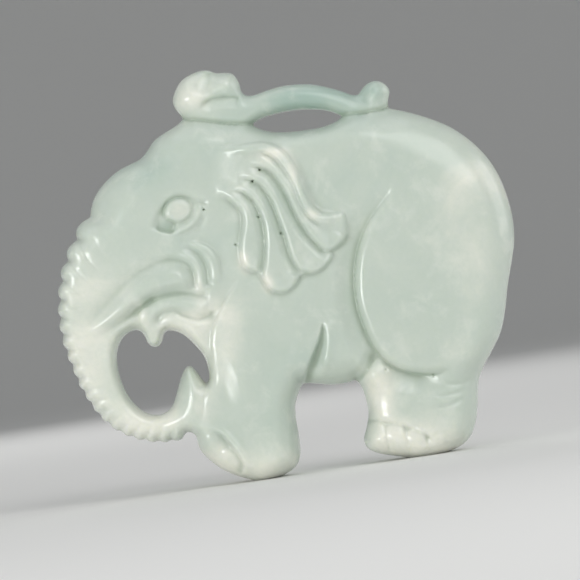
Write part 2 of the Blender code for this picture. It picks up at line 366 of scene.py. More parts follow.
def hind_leg(height):
    """The shin's top stands over the belly, and three creases cross the back of the ankle."""
    height = height - 0.7 * ramp(-Z, -12.0, -8.5) * ramp(X, 6.0, 8.0)
    front = [(10.6, 14.3), (9.8, 13.5), (8.85, 12.25), (8.0, 11.3), (6.9, 10.4)]
    height = lip(
        height, front, rise=0.3, rise_over=2.5, dip=0.9, dip_over=1.8,
        round_=1.0, start=1.6, end=0.2,
    )
    for points in (
        [(17.6, 8.9), (18.7, 8.8), (19.8, 8.65), (20.9, 8.75), (21.8, 9.1)],
        [(16.2, 7.8), (17.5, 7.5), (18.9, 7.5), (20.2, 7.7), (21.2, 8.2)],
        [(16.0, 6.2), (17.4, 6.05), (18.6, 6.2), (19.8, 6.55), (20.9, 7.1)],
    ):
        below = [(x, z - 0.55) for x, z in points]
        height = groove(height, points, width=0.75, depth=0.22, start=1.3, end=1.2)
        height = ridge(height, below, width=1.0, rise=0.08, start=1.3, end=1.2)
    return height


def hind_nails(height):
    """Four soft nails in a shallow band under the flesh of the hind foot."""
    flesh = [
        (6.9, 5.6), (8.3, 5.6), (10.35, 4.95), (11.9, 4.35), (13.7, 3.4), (15.2, 2.3), (15.7, 1.2),
    ]
    height = lip(
        height, flesh, rise=0.15, rise_over=1.8, dip=0.4, dip_over=2.8,
        round_=0.8, start=0.8, end=1.5,
    )
    nails = (
        (8.5, 2.8, 2.6, 0.5), (11.1, 2.3, 2.5, 0.5), (13.6, 1.6, 2.2, 0.5), (16.1, 0.8, 1.6, 0.3),
    )
    for x, z, up, rise in nails:
        height = height + rise * round_over(block(x, z, 1.27, up, 4.0), 1.0)
    return height


LEG_SLOPE = (-8.9, 12.8)  # the middle of the sloped band down the foreleg


def foreleg(height):
    """The foreleg swells and stands over the throat, with a sloped band down its front."""
    left = [
        (-5.5, 26.8), (-7.2, 25.05), (-8.5, 23.4), (-9.7, 21.6), (-10.5, 20.15), (-10.9, 18.4),
        (-10.95, 16.8), (-11.3, 15.3), (-12.1, 13.3), (-12.8, 11.0), (-13.3, 9.4), (-14.2, 7.4),
    ]
    height = height + 0.4 * ramp(X, -14.0, -6.0) * ramp(-X, -4.0, 0.0) * ramp(-Z, -26.0, -20.0)
    height = lip(
        height, left, rise=0.0, rise_over=1.0, dip=0.5, dip_over=2.6,
        round_=0.45, start=5.0, end=14.0,
    )
    bulge = oval(-7.2, 16.5, 5.2, 9.0, -16.0)
    height = height + 0.25 * ease(bulge)
    return height + 0.29 * (X - LEG_SLOPE[0]) * dimple(*LEG_SLOPE, 1.7, 2.9, 14.0)


def belly(height):
    """Behind the foreleg a deep wedge is cut, and the belly starts from a sharp fold."""
    leg = [(0.2, 9.6), (0.1, 11.3), (0.8, 13.2), (1.95, 15.25), (2.9, 16.9), (3.7, 18.8)]
    fold = [(4.0, 17.4), (3.8, 15.9), (3.2, 13.9), (2.8, 12.9), (2.5, 11.6), (2.4, 9.6)]
    wedge = depth_in(runs(leg, leg[-1:] + fold, fold[-1:] + leg[:1]), 2.5)
    from_leg = near(smooth(leg), 4.0)[0]
    from_fold = near(smooth(fold), 4.0)[0]
    climb = ease(from_leg / np.maximum(from_leg + from_fold, 0.01))
    depth = 1.45 - 0.65 * ramp(Z, 14.0, 18.5)
    height = height - depth * round_over(wedge + 0.05, 0.7) * (1.0 - 0.85 * climb**1.5)
    crest = [(4.6, 19.6), (4.45, 17.5), (4.2, 16.1), (3.5, 13.8), (3.0, 12.4)]
    return ridge(height, crest, width=1.2, rise=0.22, start=1.0, end=1.5)


def front_nails(height):
    """Two nails, set back a little under the flesh of the foot."""
    flesh = [
        (-13.2, 7.4), (-12.3, 7.2), (-11.4, 6.6), (-10.6, 5.5), (-9.7, 4.0), (-9.15, 2.5),
        (-9.3, 1.6), (-9.7, 0.9),
    ]
    height = lip(
        height, flesh, rise=0.1, rise_over=1.4, dip=0.5, dip_over=3.0,
        round_=0.5, start=3.0, end=0.6, bead=0.2,
    )
    for x, z, across, up in ((-13.3, 5.0, 1.35, 2.0), (-10.85, 3.0, 1.5, 2.2)):
        height = height + 0.2 * round_over(oval(x, z, across, up, -33.0), 1.0)
    return height


RIB_REACH = 5.0  # no rib is longer than this


def trunk(height):
    """The beads run on over the trunk as short rounded ribs that lean down it."""
    line = smooth(TRUNK_EDGE, spacing=0.15)
    d, along, side, total = near(line, RIB_REACH)
    inward = np.maximum(d * side, 0.0)
    notches = bead_notches() * total
    lean = 0.35 + 0.6 * np.exp(-along / 15.0)
    place = along - lean * inward
    bead = np.clip(np.searchsorted(notches, place, side="right") - 1, 0, BEADS - 1)
    phase = (place - notches[bead]) / (notches[bead + 1] - notches[bead])
    length = 2.5 + 2.2 * np.exp(-bead / 4.5)
    cut = (1.0 - np.sin(np.pi * np.clip(phase, 0.0, 1.0))) ** 2
    reach = (1.0 - ramp(inward, 0.0, length)) * taper(place, total, 0.8, 2.0)
    return height - 0.32 * cut * reach * (d < RIB_REACH)


def trunk_tip(height):
    """The end of the trunk curls up beside the foreleg as a round cone."""
    side = [(-12.5, 13.5), (-12.8, 12.3), (-13.0, 11.0), (-13.3, 9.6), (-13.9, 8.2), (-14.7, 7.2)]
    height = groove(height, side, width=1.7, depth=0.1, start=0.1, end=3.0)
    return height + 0.5 * dimple(-15.0, 11.5, 2.4, 4.5, -10.0)


def tusk(height):
    """A broad smooth tusk: it swells softly above and ends in a clean edge below."""
    outline = [
        (-15.4, 29.6), (-13.8, 29.4), (-12.5, 28.4), (-12.0, 26.9), (-12.6, 25.5), (-14.0, 25.45),
        (-15.5, 25.45), (-17.2, 25.1), (-19.4, 24.0), (-21.3, 23.0), (-23.7, 21.95), (-25.5, 21.3),
        (-27.1, 21.2), (-28.6, 21.4), (-27.4, 22.3), (-25.9, 23.6), (-24.1, 25.0), (-22.4, 26.3),
        (-20.0, 28.1), (-17.8, 29.1),
    ]
    d = depth_in(smooth(outline, closed=True), 4.0)
    fade = 1.0 - 0.92 * ramp(-X, 21.5, 27.0)
    height = height + 0.95 * ease((d + 0.3) / 1.9) * fade
    above = [
        (-26.5, 22.9), (-24.1, 25.1), (-22.4, 26.5), (-20.0, 28.3), (-17.8, 29.3), (-15.8, 29.9),
        (-13.6, 29.8),
    ]
    height = groove(height, above, width=2.2, depth=0.45, start=3.0, end=4.0)
    below = [
        (-16.6, 25.3), (-17.8, 24.9), (-19.4, 24.0), (-21.3, 23.0), (-23.7, 21.95), (-25.8, 21.3),
    ]
    return lip(
        height, below, rise=0.0, rise_over=1.0, dip=0.5, dip_over=1.1,
        round_=0.6, start=1.0, end=7.0,
    )


def cheek(height):
    """Two rolls of flesh round the tusk's root, one behind the other."""
    lines = (
        [
            (-17.0, 29.6), (-15.6, 29.95), (-14.3, 29.9), (-12.9, 29.4), (-12.05, 28.4),
            (-11.85, 26.85), (-12.2, 25.4),
        ],
        [(-13.4, 31.2), (-12.0, 30.95), (-10.6, 29.75), (-10.05, 27.7), (-10.4, 25.4)],
    )
    outer = [(-12.4, 32.0), (-11.2, 31.9), (-9.5, 31.1), (-8.4, 29.6), (-8.2, 27.5), (-8.7, 25.6)]
    rolls = (
        [(-13.6, 30.5), (-12.2, 29.8), (-11.3, 28.6), (-11.0, 27.0), (-11.3, 25.6)],
        [(-12.1, 31.5), (-10.5, 30.7), (-9.5, 29.4), (-9.2, 27.6), (-9.6, 26.0)],
    )
    for points, depth in zip(lines, (0.5, 0.6)):
        height = groove(height, points, width=1.0, depth=depth, start=2.6, end=0.9)
    height = lip(
        height, outer[::-1], rise=0.0, rise_over=1.0, dip=0.3, dip_over=3.2,
        round_=0.5, start=3.5, end=2.6,
    )
    for points in rolls:
        height = ridge(height, points, width=1.5, rise=0.28, start=1.4, end=0.9)
    return height


def mouth(height):
    """The lower lip is a thick roll that ends in a barb hanging into the trunk's loop."""
    front = [(-18.7, 24.5), (-19.45, 23.8), (-19.75, 22.8), (-19.4, 21.3), (-19.0, 20.2)]
    height = lip(
        height, front, rise=0.1, rise_over=1.5, dip=0.45, dip_over=2.2,
        round_=0.5, start=0.8, end=0.3,
    )
    upper = [
        (-19.4, 24.0), (-18.2, 24.7), (-16.8, 25.2), (-15.2, 25.4), (-13.4, 25.3), (-11.8, 24.8),
        (-10.0, 24.5),
    ]
    height = groove(height, upper, width=1.2, depth=0.6, start=1.4, end=1.0)
    lower = [
        (-17.7, 21.4), (-17.3, 22.4), (-16.5, 23.15), (-15.0, 23.3), (-13.8, 22.5), (-12.2, 21.8),
        (-10.6, 21.95), (-9.6, 22.8),
    ]
    height = groove(height, lower, width=1.0, depth=0.5, start=1.4, end=1.0)
    roll = [
        (-18.3, 19.4), (-18.5, 21.2), (-18.5, 22.7), (-17.5, 23.8), (-15.4, 24.3), (-13.4, 23.9),
        (-11.8, 23.3), (-10.4, 23.3),
    ]
    return ridge(height, roll, width=2.0, rise=0.35, start=5.0, end=1.2, flat=2.4)


TEAR_POCKET = (-14.4, 34.35)
EYEBALL = (-12.6, 36.05)


def eye(height):
    """An oval eyeball in an almond socket, with a square tear pocket in front."""
    pocket = ease((block(*TEAR_POCKET, 1.3, 0.95, -21.0) + 0.02) / 0.25)
    floor = height - 0.78 + 0.22 * (Z - TEAR_POCKET[1])
    socket = oval(-12.7, 35.6, 3.1, 2.2, 22.0)
    height = height - 0.4 * ease(socket / 0.35)
    ball = oval(*EYEBALL, 1.85, 1.5, 18.0)
    above = 0.3 + 0.7 * ramp(Z - X, 47.5, 50.0)
    ring = np.exp(-(((ball + 0.08) / 0.13) ** 2)) * above
    height = height + 0.55 * round_over(ball + 0.02, 0.5) - 0.32 * ring
    upper_lid = [
        (-16.0, 33.9), (-15.6, 34.9), (-14.8, 36.3), (-13.6, 37.5), (-12.1, 37.9),
        (-10.6, 37.3), (-9.75, 36.6), (-8.5, 36.6),
    ]
    height = groove(height, upper_lid, width=0.8, depth=0.4, start=0.6, end=0.8)
    height = height + (floor - height) * pocket
    lower_lid = [(-13.2, 33.7), (-11.8, 33.9), (-10.6, 34.7), (-10.0, 35.8), (-9.9, 36.8)]
    height = ridge(height, lower_lid, width=1.2, rise=0.38, start=0.3, end=0.6)
    under = [(-13.4, 33.0), (-11.7, 33.0), (-10.1, 33.8), (-9.2, 35.2)]
    return groove(height, under, width=1.0, depth=0.2, start=0.6, end=0.8)


PLEATS = (  # the front edges of the ear's pleats, each lying over the one in front of it
    [
        (-7.9, 37.3), (-6.6, 36.95), (-5.4, 35.85), (-4.6, 34.6), (-4.6, 33.05), (-5.15, 31.35),
        (-5.5, 29.6), (-5.4, 28.0), (-4.6, 27.05), (-3.3, 26.6),
    ],
    [
        (-5.6, 37.6), (-4.1, 37.15), (-2.9, 35.95), (-2.25, 34.25), (-1.95, 32.4), (-2.1, 30.0),
        (-2.55, 27.8), (-3.0, 26.4), (-2.9, 25.4), (-2.3, 24.3), (-1.35, 23.7), (0.0, 23.65),
        (1.1, 24.45), (1.7, 25.6),
    ],
    [
        (-4.4, 39.15), (-2.35, 38.3), (-1.35, 37.25), (-0.5, 35.35), (0.05, 33.0), (0.55, 30.5),
        (0.9, 28.2), (1.5, 26.55), (2.35, 25.7), (3.8, 25.5), (5.0, 26.0), (6.0, 26.9), (6.3, 27.9),
    ],
    [
        (-3.1, 40.6), (-1.2, 39.9), (0.0, 39.0), (1.05, 37.1), (1.7, 35.25), (2.45, 32.9),
        (3.45, 30.7), (4.55, 29.0), (5.6, 28.0), (6.8, 28.2), (8.0, 29.0), (8.5, 29.9),
    ],
)
EAR_BACK = [  # from the back pleat's tip up along the rim and down the front, closing the ear
    (8.5, 29.9), (8.6, 31.5), (8.35, 32.75), (6.0, 32.8), (4.7, 33.8), (3.85, 35.9), (3.3, 38.4),
    (2.5, 40.75), (1.2, 42.35), (-0.7, 43.15), (-4.1, 43.2), (-7.0, 43.4), (-9.5, 42.0),
    (-9.5, 39.0), (-7.9, 37.3),
]


def ear(height):
    """The ear stands over the neck in four pleats and a raised rim."""
    front, second, third, back = PLEATS
    outline = runs(front, second[8:], third[8:], back[8:], EAR_BACK[:3], EAR_BACK[2:])
    whole = depth_in(outline, 3.0)
    height = height + 0.55 * round_over(whole + 0.1, 0.8) * ramp(X, -8.5, -3.0)
    covered = 0.25 + 0.75 * ease((whole + 0.1) / 0.8)
    dip = 0.6 * covered
    for points in PLEATS:
        height = lip(
            height, points, rise=0.26, rise_over=1.9, dip=dip, dip_over=1.3,
            round_=0.55, start=2.4, end=0.5, bead=0.05,
        )
    rim_inside = [
        (-1.8, 42.3), (0.15, 41.4), (1.3, 40.0), (2.05, 38.5), (2.65, 37.1), (3.05, 35.3),
        (3.65, 33.4), (4.6, 32.1), (5.8, 31.2),
    ]
    height = lip(
        height, rim_inside, rise=0.15, rise_over=1.2, dip=0.45, dip_over=0.9,
        round_=0.4, start=2.2, end=1.6, bead=0.05,
    )
    rim = [
        (-5.5, 43.0), (-3.0, 42.85), (-0.8, 42.6), (0.8, 41.8), (2.0, 40.3), (2.75, 38.3),
        (3.35, 36.0), (4.15, 33.6), (5.5, 32.3), (7.6, 32.1),
    ]
    return ridge(height, rim, width=1.9, rise=0.5, start=3.0, end=1.5, flat=3.0)


SCEPTRE_SEAM = [
    (-14.5, 51.0), (-10.2, 47.8), (-8.8, 47.35), (-7.2, 46.9), (-4.6, 46.2), (-1.6, 45.7),
    (2.0, 45.3), (6.0, 45.0), (10.3, 45.05), (13.6, 45.0), (16.3, 45.35), (19.0, 48.0),
]
BAR_HALF = 2.55  # half the thickness of the sceptre
WEB_HALF = 1.5  # the least left standing along the seam


def sceptre_bar(d):
    """The sceptre as a round bar with two lobes and a hollow in its head, and a knob at its end."""
    bar = BAR_HALF * round_over(d + 0.8, 1.8)
    for x, z, across, up, rise in (
        (-8.7, 50.4, 2.2, 2.4, 0.7),
        (-4.2, 51.6, 1.7, 1.2, 0.45),
        (14.9, 47.7, 1.5, 1.5, 0.15),
        (-8.2, 51.9, 0.8, 1.0, -0.35),
    ):
        bar = bar + rise * dimple(x, z, across, up)
    return bar


def sceptre_and_back(height):
    """The back rounds over to the seam, and the sceptre lies on it."""
    line = smooth(SCEPTRE_SEAM)
    d = near(line, 5.0)[0]
    above = Z > np.interp(X, line[:, 0], line[:, 1])
    back = height * round_over(d + 0.6, 4.2)
    both = np.where(above, sceptre_bar(d), back)
    both = np.maximum(both, WEB_HALF * (1.0 - ramp(d, 0.0, 1.2)))
    under_lobe = [
        (-8.2, 48.5), (-7.4, 49.3), (-6.4, 49.75), (-5.0, 49.9), (-3.6, 49.7), (-2.4, 49.4),
    ]
    both = lip(
        both, under_lobe, rise=0.1, rise_over=1.5, dip=0.6, dip_over=1.8,
        round_=0.8, start=1.8, end=0.5,
    )
    between_lobes = [(-7.3, 49.9), (-6.8, 51.2), (-6.3, 52.3), (-5.8, 53.4)]
    both = groove(both, between_lobes, width=1.8, depth=0.55, start=1.5, end=0.2)
    beside_knob = [(12.9, 46.2), (13.4, 47.0), (13.3, 47.8)]
    return groove(both, beside_knob, width=1.0, depth=0.25, start=0.5, end=0.3)


EASE_OUT = 1.4  # a polished edge is flat only this many radii in


def profile(d, radius):
    """The square of a rounded edge that eases into the flat; it goes on below zero outside."""
    t = np.minimum(d / (EASE_OUT * radius), 1.0)
    return 1.0 - (1.0 - t) ** 3


EDGE_RADII = (  # how wide the stone's edge is rounded: x, z, reach across, reach up, radius
    (28.0, 30.0, 12.0, 16.0, 7.0),
    (20.0, 42.0, 12.0, 7.0, 6.5),
    (-2.0, 8.0, 4.5, 9.0, 3.3),
    (4.0, 11.0, 4.5, 4.0, 4.4),
    (20.0, 5.0, 6.0, 7.0, 3.6),
    (-16.0, 43.0, 10.0, 6.0, 5.5),
    (-23.0, 39.5, 5.0, 4.0, 7.0),
    (-28.0, 22.0, 4.0, 18.0, 0.9),
    (-20.0, 7.5, 8.0, 3.0, 1.2),
    (-14.0, 8.5, 2.5, 2.5, 0.9),
    (2.0, 49.5, 22.0, 3.4, 1.5),
)
PLAIN_RADIUS = 2.6  # where none of them reaches
PLAIN_WEIGHT = 0.25  # how much it counts beside them


def edge_radius():
    """A blend of the radii above, by how near each one is."""
    weight = np.full(X.shape, PLAIN_WEIGHT)
    total = PLAIN_RADIUS * weight
    for x, z, across, up, radius in EDGE_RADII:
        here = dimple(x, z, across, up) ** 2
        weight = weight + here
        total = total + here * radius
    return total / weight


PITS = (  # tiny pits left by the carver's drill and by wear: x, z, depth
    (-1.4, 39.7, 1.15), (-2.5, 38.4, 1.15), (-2.5, 33.7, 0.6), (0.1, 31.2, 0.9), (-5.9, 30.6, 0.7),
    (-9.3, 35.7, 0.95), (16.9, 10.3, 0.4), (10.9, 11.8, 0.3),
)
PIT_SIZE = 0.13


def pits(height):
    """Sinks the pits into the finished relief."""
    for x, z, depth in PITS:
        height = height - depth * dimple(x, z, PIT_SIZE, PIT_SIZE)
    return height


MILK_AND_PAINTED_LIGHT = (  # clouds in the stone, a few painted highlights and painted shade: x, z, reach across, reach up, whiteness or, below zero, green
    (-27.0, 20.0, 5.0, 11.0, 0.8),
    (-20.0, 9.0, 7.0, 3.5, 0.9),
    (-14.5, 21.5, 5.0, 3.0, 1.0),
    (-13.0, 12.0, 2.0, 5.0, 0.5),
    (-7.5, 1.5, 8.0, 4.0, 1.0),
    (13.0, 1.0, 8.0, 4.0, 0.7),
    (20.0, 8.0, 4.0, 5.0, -0.3),
    (-8.6, 50.3, 3.4, 3.4, 0.8),
    (25.5, 31.0, 6.0, 11.0, 0.7),
    (-19.5, 36.6, 3.0, 3.0, -0.4),
    (-8.6, 17.0, 3.4, 8.0, 0.6),
    (0.5, 41.5, 6.5, 3.0, 0.4),
    (-17.0, 42.0, 7.0, 4.0, -0.8),
    (-13.5, 32.5, 5.0, 2.5, -0.4),
    (3.0, 44.0, 13.0, 3.0, -0.6),
    (6.0, 48.2, 8.5, 2.5, -1.3),
    (9.5, 8.5, 2.6, 4.0, 0.9),
    (15.5, 13.5, 7.0, 4.5, 0.5),
    (14.8, 47.5, 2.5, 2.5, -0.5),
    (3.5, 17.0, 5.5, 7.0, -0.15),
    (-4.0, 6.0, 4.0, 4.5, -0.2),
    (10.0, 38.0, 8.0, 5.0, -0.25),
    (-24.0, 31.0, 6.0, 6.0, 0.1),
    (*EYEBALL, 1.8, 1.5, 0.6),
    # painted shade: the tear pocket made greener and darker
    (*TEAR_POCKET, 1.1, 0.9, -0.8),
    (-12.0, 4.4, 2.8, 2.8, 0.6),
    (10.5, 2.4, 4.5, 2.6, 0.6),
    # painted highlights on the tips of the two front ear pleats
    (-5.2, 28.6, 0.9, 1.8, 1.0),
    (-2.6, 25.1, 0.9, 1.5, 1.0),
    (0.6, 41.6, 2.2, 1.0, 0.9),
    (2.8, 38.0, 0.9, 2.2, 0.9),
    (4.3, 33.0, 1.4, 1.2, 0.8),
    # painted highlight on the lit edge of the cheek roll
    (-11.5, 26.5, 0.8, 2.2, 0.7),
    # painted highlight on the ridge of the lower jaw
    (-19.2, 23.4, 1.0, 1.6, 0.4),
)
GREENEST = -1.6
MILKIEST = 1.0


def clouds():
    """Where the stone is milky, above zero, or green, below zero; some spots are painted highlights
    and the tear pocket's green is painted shade.
    """
    milk_and_painted_light = np.zeros(X.shape)
    for x, z, across, up, strength in MILK_AND_PAINTED_LIGHT:
        milk_and_painted_light = milk_and_painted_light + strength * dimple(x, z, across, up)
    return np.clip(milk_and_painted_light, GREENEST, MILKIEST)


FEATURES = (  # in the order of carving, because a later one may cut into an earlier one
    haunch, hind_leg, foreleg, belly, trunk, mouth, tusk, cheek, eye, ear, trunk_tip, hind_nails,
    front_nails, sceptre_and_back,
)
RELIEF_POLISH = 0.1  # how far polishing has softened the relief
EDGE_POLISH = 0.18  # and how far it has softened the edges
CUT_REACH = 0.7  # a cut's depth is measured against the stone about this far around it
SLOT_RADIUS = 1.5
THINNEST = 0.4  # the least half-thickness left under a cut


def relief():
    """The half-thickness with every feature carved, before the edges are rounded."""
    height = body_levels()
    for feature in FEATURES:
        height = feature(height)
    return pits(blur(height, RELIEF_POLISH))


def edges():
    """How much of the relief's squared height the rounded edges leave: 1 inside, below 0 outside."""
    loop_radius = 1.1 + 1.0 * dimple(-15.5, 11.5, 2.5, 4.5) - 0.5 * dimple(-18.1, 20.0, 2.0, 2.0)
    loop = -depth_in(smooth(TRUNK_LOOP, closed=True), 4.0)
    slot = -depth_in(runs(*CORD_SLOT), 3.0)
    shape = profile(depth_in(outer_outline(), 7.0), edge_radius())
    for d, radius in ((loop, loop_radius), (slot, SLOT_RADIUS)):
        hole = profile(d, radius)
        shape = np.where(hole < 0, np.minimum(shape, hole), shape * np.maximum(hole, 0.0))
    return blur(shape, EDGE_POLISH)


def carve():
    """The square of the half-thickness, negative outside the stone, and the depth of the cuts, which
    the material paints as shade.
    """
    height = relief()
    cavity = np.clip(blur(height, CUT_REACH) - height, 0.0, 1.0)
    return np.maximum(height, THINNEST) ** 2 * edges(), cavity


# ------------------------------------------------------------------- mesh


def net(square):
    """Surface nets over y * y < square(x, z): vertices in millimetres, and quads facing out.

    Wherever two neighbouring grid points lie one inside the stone and one outside it, the
    surface crosses between them, and a quad joins the four cells around that crossing.
    A cell's vertex is the mean of the crossings on its edges.
    """
    top = math.sqrt(float(square.max()))
    half = math.ceil(top / GRID) + 1
    ys = np.arange(-half, half + 1) * GRID
    solid = ys[None, None, :] ** 2 < square[:, :, None]
    _, nz, ny = solid.shape
    strides = (nz * ny, ny, 1)
    points = []
    cells = []
    corners = []
    for axis in range(3):
        a = [slice(None)] * 3
        b = [slice(None)] * 3
        a[axis] = slice(0, -1)
        b[axis] = slice(1, None)
        low, high = solid[tuple(a)], solid[tuple(b)]
        i, j, k = np.nonzero(low != high)
        leaving = low[i, j, k]
        x, z, y = XS[i], ZS[j], ys[k]
        if axis == 2:
            root = np.sqrt(square[i, j])
            y = np.where(y + GRID / 2 > 0, root, -root)
        else:
            i2, j2 = (i + 1, j) if axis == 0 else (i, j + 1)
            g0, g1 = square[i, j], square[i2, j2]
            t = np.clip((y * y - g0) / np.where(g1 == g0, 1.0, g1 - g0), 0.0, 1.0)
            x, z = (x + t * GRID, z) if axis == 0 else (x, z + t * GRID)
        here = np.stack([x, y, z], axis=1)
        u, v = [n for n in range(3) if n != axis]
        cell = i * strides[0] + j * strides[1] + k * strides[2]
        around = np.stack(
            [cell - strides[u] - strides[v], cell - strides[v], cell, cell - strides[u]], axis=1
        )
        flip = leaving if axis == 1 else ~leaving
        around[flip] = around[flip][:, ::-1]
        points.append(np.repeat(here, 4, axis=0))
        cells.append(around.reshape(-1))
        corners.append(around)
    cells = np.concatenate(cells)
    points = np.concatenate(points)
    names, index = np.unique(cells, return_inverse=True)
    count = np.bincount(index).astype(float)
    verts = np.stack([np.bincount(index, weights=points[:, c]) / count for c in range(3)], axis=1)
    quads = np.searchsorted(names, np.concatenate(corners))
    return verts, quads


INSIDE_LAST = 1.001  # keeps a sample just inside the grid's last cell


def sample(field, x, z):
    """Values of a grid field at points, between its grid points."""
    i = np.clip((x - XS[0]) / GRID, 0, len(XS) - INSIDE_LAST)
    j = np.clip((z - ZS[0]) / GRID, 0, len(ZS) - INSIDE_LAST)
    i0 = i.astype(int)
    j0 = j.astype(int)
    fi = i - i0
    fj = j - j0
    return (
        field[i0, j0] * (1 - fi) * (1 - fj)
        + field[i0 + 1, j0] * fi * (1 - fj)
        + field[i0, j0 + 1] * (1 - fi) * fj
        + field[i0 + 1, j0 + 1] * fi * fj
    )


def quad_mesh(name, verts, quads):
    """A Blender mesh from vertices in millimetres and rows of four vertex numbers."""
    mesh = bpy.data.meshes.new(name)
    mesh.vertices.add(len(verts))
    mesh.vertices.foreach_set("co", (verts * MM).astype(np.float32).ravel())
    mesh.loops.add(len(quads) * 4)
    mesh.loops.foreach_set("vertex_index", quads.astype(np.int32).ravel())
    mesh.polygons.add(len(quads))
    mesh.polygons.foreach_set("loop_start", np.arange(len(quads), dtype=np.int32) * 4)
    mesh.polygons.foreach_set("loop_total", np.full(len(quads), 4, np.int32))
    mesh.update(calc_edges=True)
    mesh.validate()
    return mesh


def cut_soles(mesh):
    """Cuts the feet flat on the ground and closes them."""
    bm = bmesh.new()
    bm.from_mesh(mesh)
    everything = bm.verts[:] + bm.edges[:] + bm.faces[:]
    cut = bmesh.ops.bisect_plane(
        bm, geom=everything, plane_co=(0, 0, 0), plane_no=(0, 0, -1), clear_outer=True
    )
    rims = [e for e in cut["geom_cut"] if isinstance(e, bmesh.types.BMEdge)]
    soles = bmesh.ops.holes_fill(bm, edges=rims, sides=0)["faces"]
    bmesh.ops.recalc_face_normals(bm, faces=bm.faces[:])
    for face in bm.faces:
        face.smooth = True
    for sole in soles:
        sole.smooth = False
        for edge in sole.edges:
            edge.smooth = False
    bm.to_mesh(mesh)
    bm.free()


def carving():
    """The carved stone, with the depth of its cuts, for painted shade, and its clouds, with painted
    highlights and shade, as attributes for the material.
    """
    square, cavity = carve()
    verts, quads = net(square)
    mesh = quad_mesh("carved_elephant", verts, quads)
    cut_soles(mesh)
    co = np.empty(len(mesh.vertices) * 3, np.float32)
    mesh.vertices.foreach_get("co", co)
    co = co.reshape(-1, 3) / MM
    for name, field in (("cavity", cavity), ("milk_and_painted_light", clouds())):
        values = sample(field, co[:, 0], co[:, 2]).astype(np.float32)
        mesh.attributes.new(name, "FLOAT", "POINT").data.foreach_set("value", values)
    piece = bpy.data.objects.new("carved_elephant", mesh)
    bpy.context.collection.objects.link(piece)
    return piece


# --------------------------------------------------------------- material


class Nodes:
    """Short calls for building a material's node tree."""

    def __init__(self, material):
        material.use_nodes = True
        self.tree = material.node_tree
        self.shader = self.tree.nodes["Principled BSDF"]

    def add(self, kind, **settings):
        node = self.tree.nodes.new(kind)
        for key, value in settings.items():
            setattr(node, key, value)
        return node

    def link(self, source, target):
        self.tree.links.new(source, target)

    def place(self):
        return self.add("ShaderNodeTexCoord").outputs["Object"]

    def attribute(self, name):
        return self.add("ShaderNodeAttribute", attribute_name=name).outputs["Fac"]

    def noise(self, where, scale, detail, roughness, distortion=0.0):
        node = self.add("ShaderNodeTexNoise")
        node.inputs["Scale"].default_value = scale
        node.inputs["Detail"].default_value = detail
        node.inputs["Roughness"].default_value = roughness
        node.inputs["Distortion"].default_value = distortion
        self.link(where, node.inputs["Vector"])
        return node.outputs["Fac"]

    def ramp(self, value, low, high, to_low=0.0, to_high=1.0):
        node = self.add("ShaderNodeMapRange", interpolation_type="SMOOTHSTEP")
        for name, number in (
            ("From Min", low), ("From Max", high), ("To Min", to_low), ("To Max", to_high)
        ):
            node.inputs[name].default_value = number
        self.link(value, node.inputs["Value"])
        return node.outputs["Result"]

    def feed(self, socket, value):
        """Sets a socket to a plain value, or links another node's output to it."""
        if isinstance(value, (tuple, float)):
            socket.default_value = value
        else:
            self.link(value, socket)

    def mix(self, factor, a, b):
        """Colour a where the factor is 0, and b where it is 1."""
        node = self.add("ShaderNodeMix", data_type="RGBA")
        for socket, value in ((node.inputs[0], factor), (node.inputs[6], a), (node.inputs[7], b)):
            self.feed(socket, value)
        return node.outputs[2]

    def math(self, operation, a, b):
        node = self.add("ShaderNodeMath", operation=operation)
        for socket, value in zip(node.inputs, (a, b)):
            self.feed(socket, value)
        return node.outputs[0]


def srgb(red, green, blue):
    """A display colour, 0 to 255 a channel, as a linear one."""
    channels = []
    for value in (red, green, blue):
        c = value / 255.0
        channels.append(c / 12.92 if c <= 0.04045 else ((c + 0.055) / 1.055) ** 2.4)
    return (*channels, 1.0)


# green of the stone, also the colour of the painted shade in the tear pocket
GREEN_STONE_AND_SHADE = srgb(166, 190, 180)
PALE_STONE = srgb(206, 216, 205)
# milky white of the stone, also the colour of the painted highlights on a few ridge tips
MILKY_STONE_AND_HIGHLIGHT = srgb(240, 240, 229)
WISP = srgb(236, 239, 230)
GRAIN = srgb(186, 202, 190)
# painted shade, mixed into the cuts
PAINTED_CUT_SHADE = srgb(152, 170, 146)
# dirt in the drill pits, and painted shade in the deepest cuts
PIT_DIRT_AND_SHADE = srgb(80, 84, 66)
PAPER = srgb(236, 236, 234)


def jade_colour(n, place):
    """Milky and greenish clouds with some painted highlights and shade, wisps, fine grains, painted
    shade in the cuts, and dirt in the pits with painted shade in the deepest cuts.
    """
    clouds = n.noise(place, 85.0, 5.0, 0.55, 0.5)
    contrast = n.math("MULTIPLY", n.math("SUBTRACT", clouds, 0.5), 2.2)
    clouds = n.math("ADD", contrast, n.attribute("milk_and_painted_light"))
    wisps = n.noise(place, 260.0, 6.0, 0.62, 0.3)
    grains = n.noise(place, 1600.0, 3.0, 0.6)
    cavity = n.attribute("cavity")
    colour = n.mix(n.ramp(clouds, -1.8, 0.2), GREEN_STONE_AND_SHADE, PALE_STONE)
    colour = n.mix(n.ramp(clouds, 0.1, 1.2), colour, MILKY_STONE_AND_HIGHLIGHT)
    colour = n.mix(n.ramp(wisps, 0.50, 0.70, 0.0, 0.3), colour, WISP)
    colour = n.mix(n.ramp(grains, 0.35, 0.75, 0.0, 0.12), colour, GRAIN)
    # painted shade in the cuts, darker the deeper the cut
    colour = n.mix(n.ramp(cavity, 0.03, 0.5, 0.0, 0.45), colour, PAINTED_CUT_SHADE)
    # dirt in the pits, and painted shade where any cut is deepest
    return n.mix(n.ramp(cavity, 0.6, 1.0, 0.0, 0.8), colour, PIT_DIRT_AND_SHADE)


